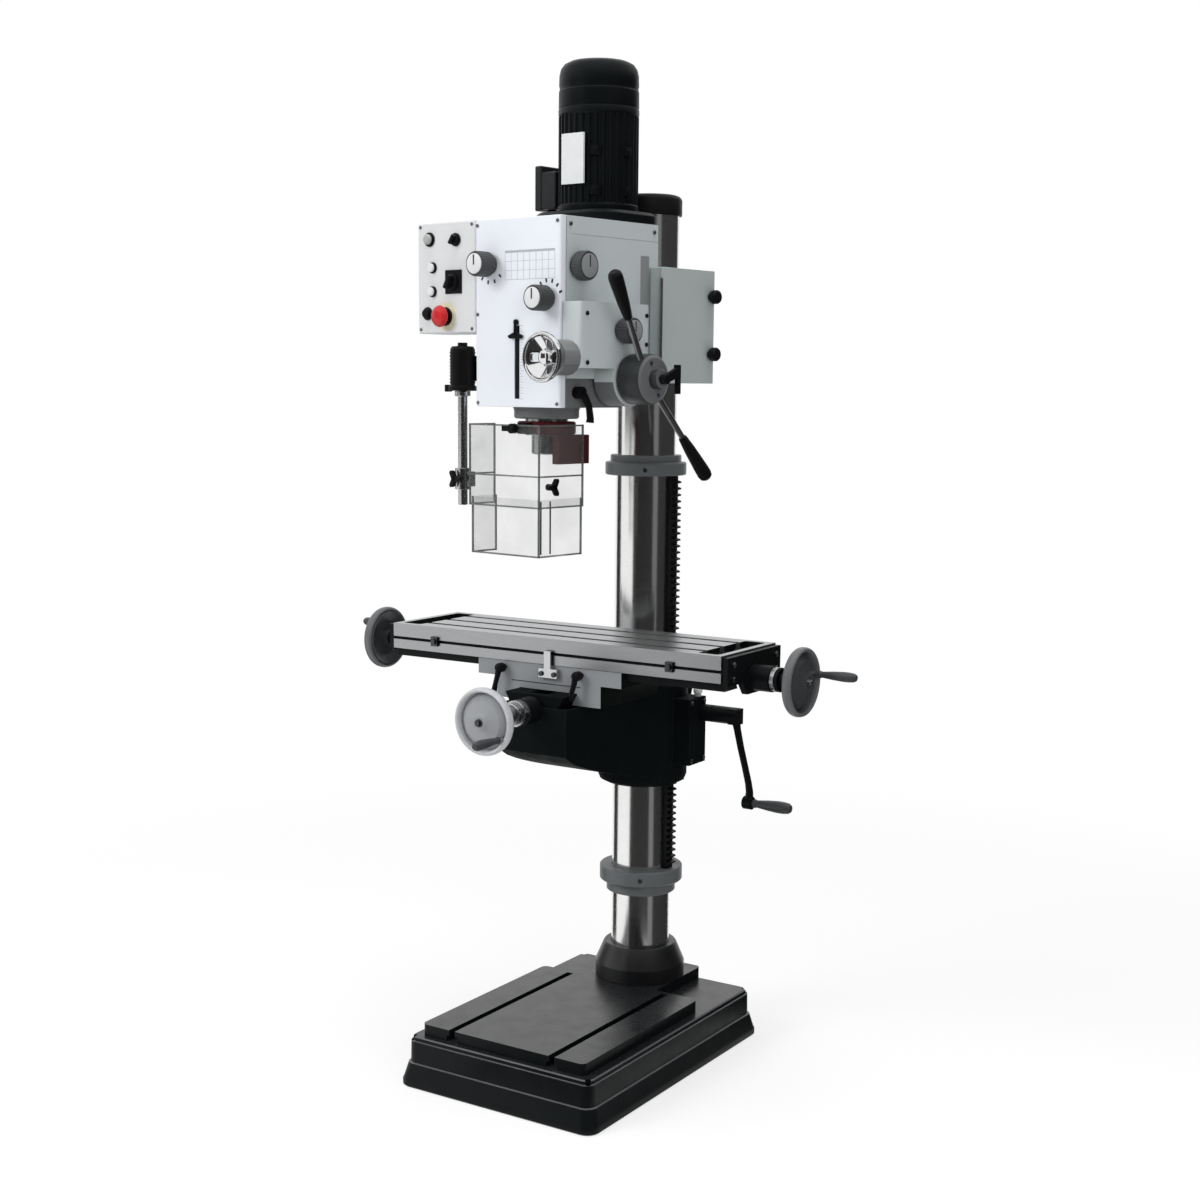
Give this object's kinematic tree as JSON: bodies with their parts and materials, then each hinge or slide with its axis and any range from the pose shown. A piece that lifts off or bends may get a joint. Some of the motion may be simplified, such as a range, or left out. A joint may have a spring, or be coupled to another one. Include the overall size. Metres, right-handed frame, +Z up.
{
  "type": "geared head drill press",
  "caption": "Floor-standing geared head drill press: cast base, round column, rack-lifted knee with a cross table, swivelling gear head, quill feed and swing-away guard.",
  "frame": {"origin": "column axis at floor level", "axes": "+Z up along the column, -Y towards the operator, +X to the operator's right along the table"},
  "size_m": [1.114, 0.7693, 1.904],
  "materials": {
    "cast": "black enamel over cast iron",
    "grey": "light grey enamel",
    "steel": "ground and milled steel",
    "chrome": "polished",
    "black": "satin black",
    "plastic": "satin black moulded plastic",
    "dark": "dark grey",
    "white": "satin white",
    "clear": null,
    "red": "gloss red",
    "maroon": "dark red enamel",
    "brass": "machined bronze"
  },
  "bodies": {
    "stand": {"base": "cast", "column_foot": "cast", "column": "chrome", "column_cap": "black", "collar_lower": "grey", "collar_upper": "grey"},
    "rack_ring": {"lift_rack": "steel"},
    "knee": {"knee": "cast"},
    "knee_clamp": {"knee_clamp_lever": "black"},
    "lift_gear": {"lift_pinion": "steel"},
    "crank": {"lift_crank": "black"},
    "crank_handle": {"crank_grip": "plastic"},
    "saddle": {"saddle": "grey", "table_stop_block": "steel"},
    "cross_feed": {"cross_screw": "steel", "cross_wheel": "chrome"},
    "cross_handle": {"cross_wheel_grip": "plastic"},
    "lock_left": {"saddle_lock_left": "black"},
    "lock_right": {"saddle_lock_right": "black"},
    "table": {"table": "steel", "bracket_left": "black", "bracket_right": "black"},
    "table_feed": {"table_screw": "steel", "wheel_left": "chrome", "wheel_right": "chrome"},
    "handle_left": {"wheel_grip_left": "plastic"},
    "handle_right": {"wheel_grip_right": "plastic"},
    "head": {"head_casing": "grey", "front_plate": "white", "feed_case": "grey", "motor_body": "black", "motor_fan_cover": "plastic", "terminal_box": "plastic", "control_box": "grey", "electric_box": "grey", "guard_housing": "black"},
    "rotor": {"motor_rotor": "steel"},
    "layshaft": {"layshaft": "steel"},
    "sleeve": {"drive_sleeve": "steel"},
    "quill": {"quill": "steel", "quill_collar": "maroon"},
    "spindle": {"spindle": "steel"},
    "feed_hub": {"feed_hub": "dark", "feed_lever_front": "black", "feed_lever_back": "black"},
    "clutch_lever": {"feed_clutch_lever": "black"},
    "fine_feed": {"fine_feed_wheel": "chrome"},
    "worm_wheel": {"feed_worm_wheel": "brass"},
    "knob_left": {"speed_knob_left": "plastic"},
    "knob_right": {"speed_knob_right": "plastic"},
    "knob_range": {"range_knob": "plastic"},
    "knob_feed": {"feed_knob": "plastic"},
    "quill_lock": {"quill_lock_lever": "black"},
    "mains": {"mains_switch": "plastic"},
    "stop": {"stop_button": "red"},
    "door": {"electric_door": "grey"},
    "guard": {"guard_rod": "steel", "guard_shield_upper": "clear"},
    "guard_low": {"guard_shield_lower": "clear"}
  },
  "joints": [
    {"name": "table_swing", "type": "hinge", "parent": "stand", "child": "rack_ring", "pos_m": [0, 0, 0.6], "axis": [0, 0, 1], "range_deg": [-30, 30]},
    {"name": "knee_lift", "type": "slide", "parent": "rack_ring", "child": "knee", "axis": [0, 0, 1], "range_m": [-0.17, 0.145]},
    {"name": "lift_pinion_turn", "type": "hinge", "parent": "knee", "child": "lift_gear", "pos_m": [0.095, 0, 0.646], "axis": [0, 1, 0], "range_deg": [-360, 420]},
    {"name": "crank_turn", "type": "hinge", "parent": "knee", "child": "crank", "pos_m": [0, 0.024, 0.675], "axis": [1, 0, 0], "range_deg": [-7200, 8400]},
    {"name": "crank_handle_spin", "type": "hinge", "parent": "crank", "child": "crank_handle", "pos_m": [0.23, 0.024, 0.505], "axis": [1, 0, 0], "continuous": true},
    {"name": "knee_clamp_turn", "type": "hinge", "parent": "knee", "child": "knee_clamp", "pos_m": [0, 0.104, 0.64], "axis": [1, 0, 0], "range_deg": [-60, 20]},
    {"name": "saddle_slide", "type": "slide", "parent": "knee", "child": "saddle", "axis": [0, 1, 0], "range_m": [-0.08, 0.06]},
    {"name": "cross_wheel_turn", "type": "hinge", "parent": "knee", "child": "cross_feed", "pos_m": [0, 0, 0.73], "axis": [0, 1, 0], "range_deg": [-6000, 6000]},
    {"name": "cross_handle_spin", "type": "hinge", "parent": "cross_feed", "child": "cross_handle", "pos_m": [0.042, 0, 0.704], "axis": [0, 1, 0], "continuous": true},
    {"name": "saddle_lock_left_turn", "type": "hinge", "parent": "saddle", "child": "lock_left", "pos_m": [-0.099, 0, 0.793], "axis": [0, 1, 0], "range_deg": [-60, 60]},
    {"name": "saddle_lock_right_turn", "type": "hinge", "parent": "saddle", "child": "lock_right", "pos_m": [0.073, 0, 0.793], "axis": [0, 1, 0], "range_deg": [-60, 0]},
    {"name": "table_slide", "type": "slide", "parent": "saddle", "child": "table", "axis": [1, 0, 0], "range_m": [-0.19, 0.19]},
    {"name": "table_wheel_turn", "type": "hinge", "parent": "table", "child": "table_feed", "pos_m": [0, -0.2375, 0.806], "axis": [1, 0, 0], "range_deg": [-14000, 14000]},
    {"name": "handle_left_spin", "type": "hinge", "parent": "table_feed", "child": "handle_left", "pos_m": [-0.48, -0.2015, 0.828], "axis": [1, 0, 0], "continuous": true},
    {"name": "handle_right_spin", "type": "hinge", "parent": "table_feed", "child": "handle_right", "pos_m": [0.48, -0.1975, 0.816], "axis": [1, 0, 0], "continuous": true},
    {"name": "head_swivel", "type": "hinge", "parent": "stand", "child": "head", "pos_m": [0, 0, 1.45], "axis": [0, 0, 1], "range_deg": [-52, 68]},
    {"name": "rotor_spin", "type": "hinge", "parent": "head", "child": "rotor", "pos_m": [-0.02088, -0.14854, 1.7], "axis": [0, 0, 1], "continuous": true},
    {"name": "layshaft_spin", "type": "hinge", "parent": "head", "child": "layshaft", "pos_m": [-0.03062, -0.21786, 1.52], "axis": [0, 0, 1], "continuous": true},
    {"name": "sleeve_spin", "type": "hinge", "parent": "head", "child": "sleeve", "pos_m": [-0.04036, -0.28718, 1.5], "axis": [0, 0, 1], "continuous": true},
    {"name": "quill_feed", "type": "slide", "parent": "head", "child": "quill", "axis": [0, 0, 1], "range_m": [-0.11, 0], "stiffness_N_per_m": 450, "springref_m": 0.45},
    {"name": "spindle_spin", "type": "hinge", "parent": "quill", "child": "spindle", "pos_m": [-0.04036, -0.28718, 1.3], "axis": [0, 0, 1], "continuous": true},
    {"name": "feed_turn", "type": "hinge", "parent": "head", "child": "feed_hub", "pos_m": [-0.0319, -0.22697, 1.328], "axis": [0.9903, -0.1392, 0], "range_deg": [-30, 300]},
    {"name": "clutch_turn", "type": "hinge", "parent": "feed_hub", "child": "clutch_lever", "pos_m": [-0.0319, -0.22697, 1.328], "axis": [0.9903, -0.1392, 0], "range_deg": [-30, 60]},
    {"name": "fine_feed_turn", "type": "hinge", "parent": "head", "child": "fine_feed", "pos_m": [0.11883, -0.0167, 1.364], "axis": [0.1392, 0.9903, 0], "continuous": true},
    {"name": "worm_wheel_turn", "type": "hinge", "parent": "head", "child": "worm_wheel", "pos_m": [-0.0319, -0.22697, 1.328], "axis": [0.9903, -0.1392, 0], "continuous": true},
    {"name": "knob_left_turn", "type": "hinge", "parent": "head", "child": "knob_left", "pos_m": [-0.06536, 0.00919, 1.53], "axis": [0.1392, 0.9903, 0], "range_deg": [-60, 60]},
    {"name": "knob_right_turn", "type": "hinge", "parent": "head", "child": "knob_right", "pos_m": [0.07526, -0.01058, 1.467], "axis": [0.1392, 0.9903, 0], "range_deg": [-60, 60]},
    {"name": "knob_range_turn", "type": "hinge", "parent": "head", "child": "knob_range", "pos_m": [-0.04537, -0.32283, 1.524], "axis": [0.9903, -0.1392, 0], "range_deg": [-60, 60]},
    {"name": "knob_feed_turn", "type": "hinge", "parent": "head", "child": "knob_feed", "pos_m": [-0.03591, -0.25549, 1.413], "axis": [0.9903, -0.1392, 0], "range_deg": [-60, 60]},
    {"name": "quill_lock_turn", "type": "hinge", "parent": "head", "child": "quill_lock", "pos_m": [-0.04426, -0.3149, 1.303], "axis": [0.9903, -0.1392, 0], "range_deg": [-60, 0]},
    {"name": "mains_turn", "type": "hinge", "parent": "head", "child": "mains", "pos_m": [-0.16042, 0.02255, 1.502], "axis": [0.1392, 0.9903, 0], "range_deg": [-45, 45]},
    {"name": "stop_press", "type": "slide", "parent": "head", "child": "stop", "axis": [0.1392, 0.9903, 0], "range_m": [0, 0.004], "stiffness_N_per_m": 800, "springref_m": -0.003},
    {"name": "door_swing", "type": "hinge", "parent": "head", "child": "door", "pos_m": [0.11922, -0.14904, 1.426], "axis": [0, 0, -1], "range_deg": [0, 100]},
    {"name": "guard_swing", "type": "hinge", "parent": "head", "child": "guard", "pos_m": [-0.18985, -0.34493, 1.25], "axis": [0, 0, 1], "range_deg": [-100, 0]},
    {"name": "guard_height", "type": "slide", "parent": "guard", "child": "guard_low", "axis": [0, 0, 1], "range_m": [0, 0.09]}
  ],
  "couplings": [
    {"joint": "lift_pinion_turn", "follows": "knee_lift", "rad_per_m": -41.667},
    {"joint": "crank_turn", "follows": "knee_lift", "rad_per_m": -833.33},
    {"joint": "cross_wheel_turn", "follows": "saddle_slide", "rad_per_m": 1256.6},
    {"joint": "table_wheel_turn", "follows": "table_slide", "rad_per_m": 1256.6},
    {"joint": "layshaft_spin", "follows": "rotor_spin", "ratio": -0.4},
    {"joint": "sleeve_spin", "follows": "rotor_spin", "ratio": 0.2087},
    {"joint": "spindle_spin", "follows": "rotor_spin", "ratio": 0.2087},
    {"joint": "feed_turn", "follows": "quill_feed", "rad_per_m": -41.667},
    {"joint": "worm_wheel_turn", "follows": "fine_feed_turn", "ratio": -0.05}
  ]
}
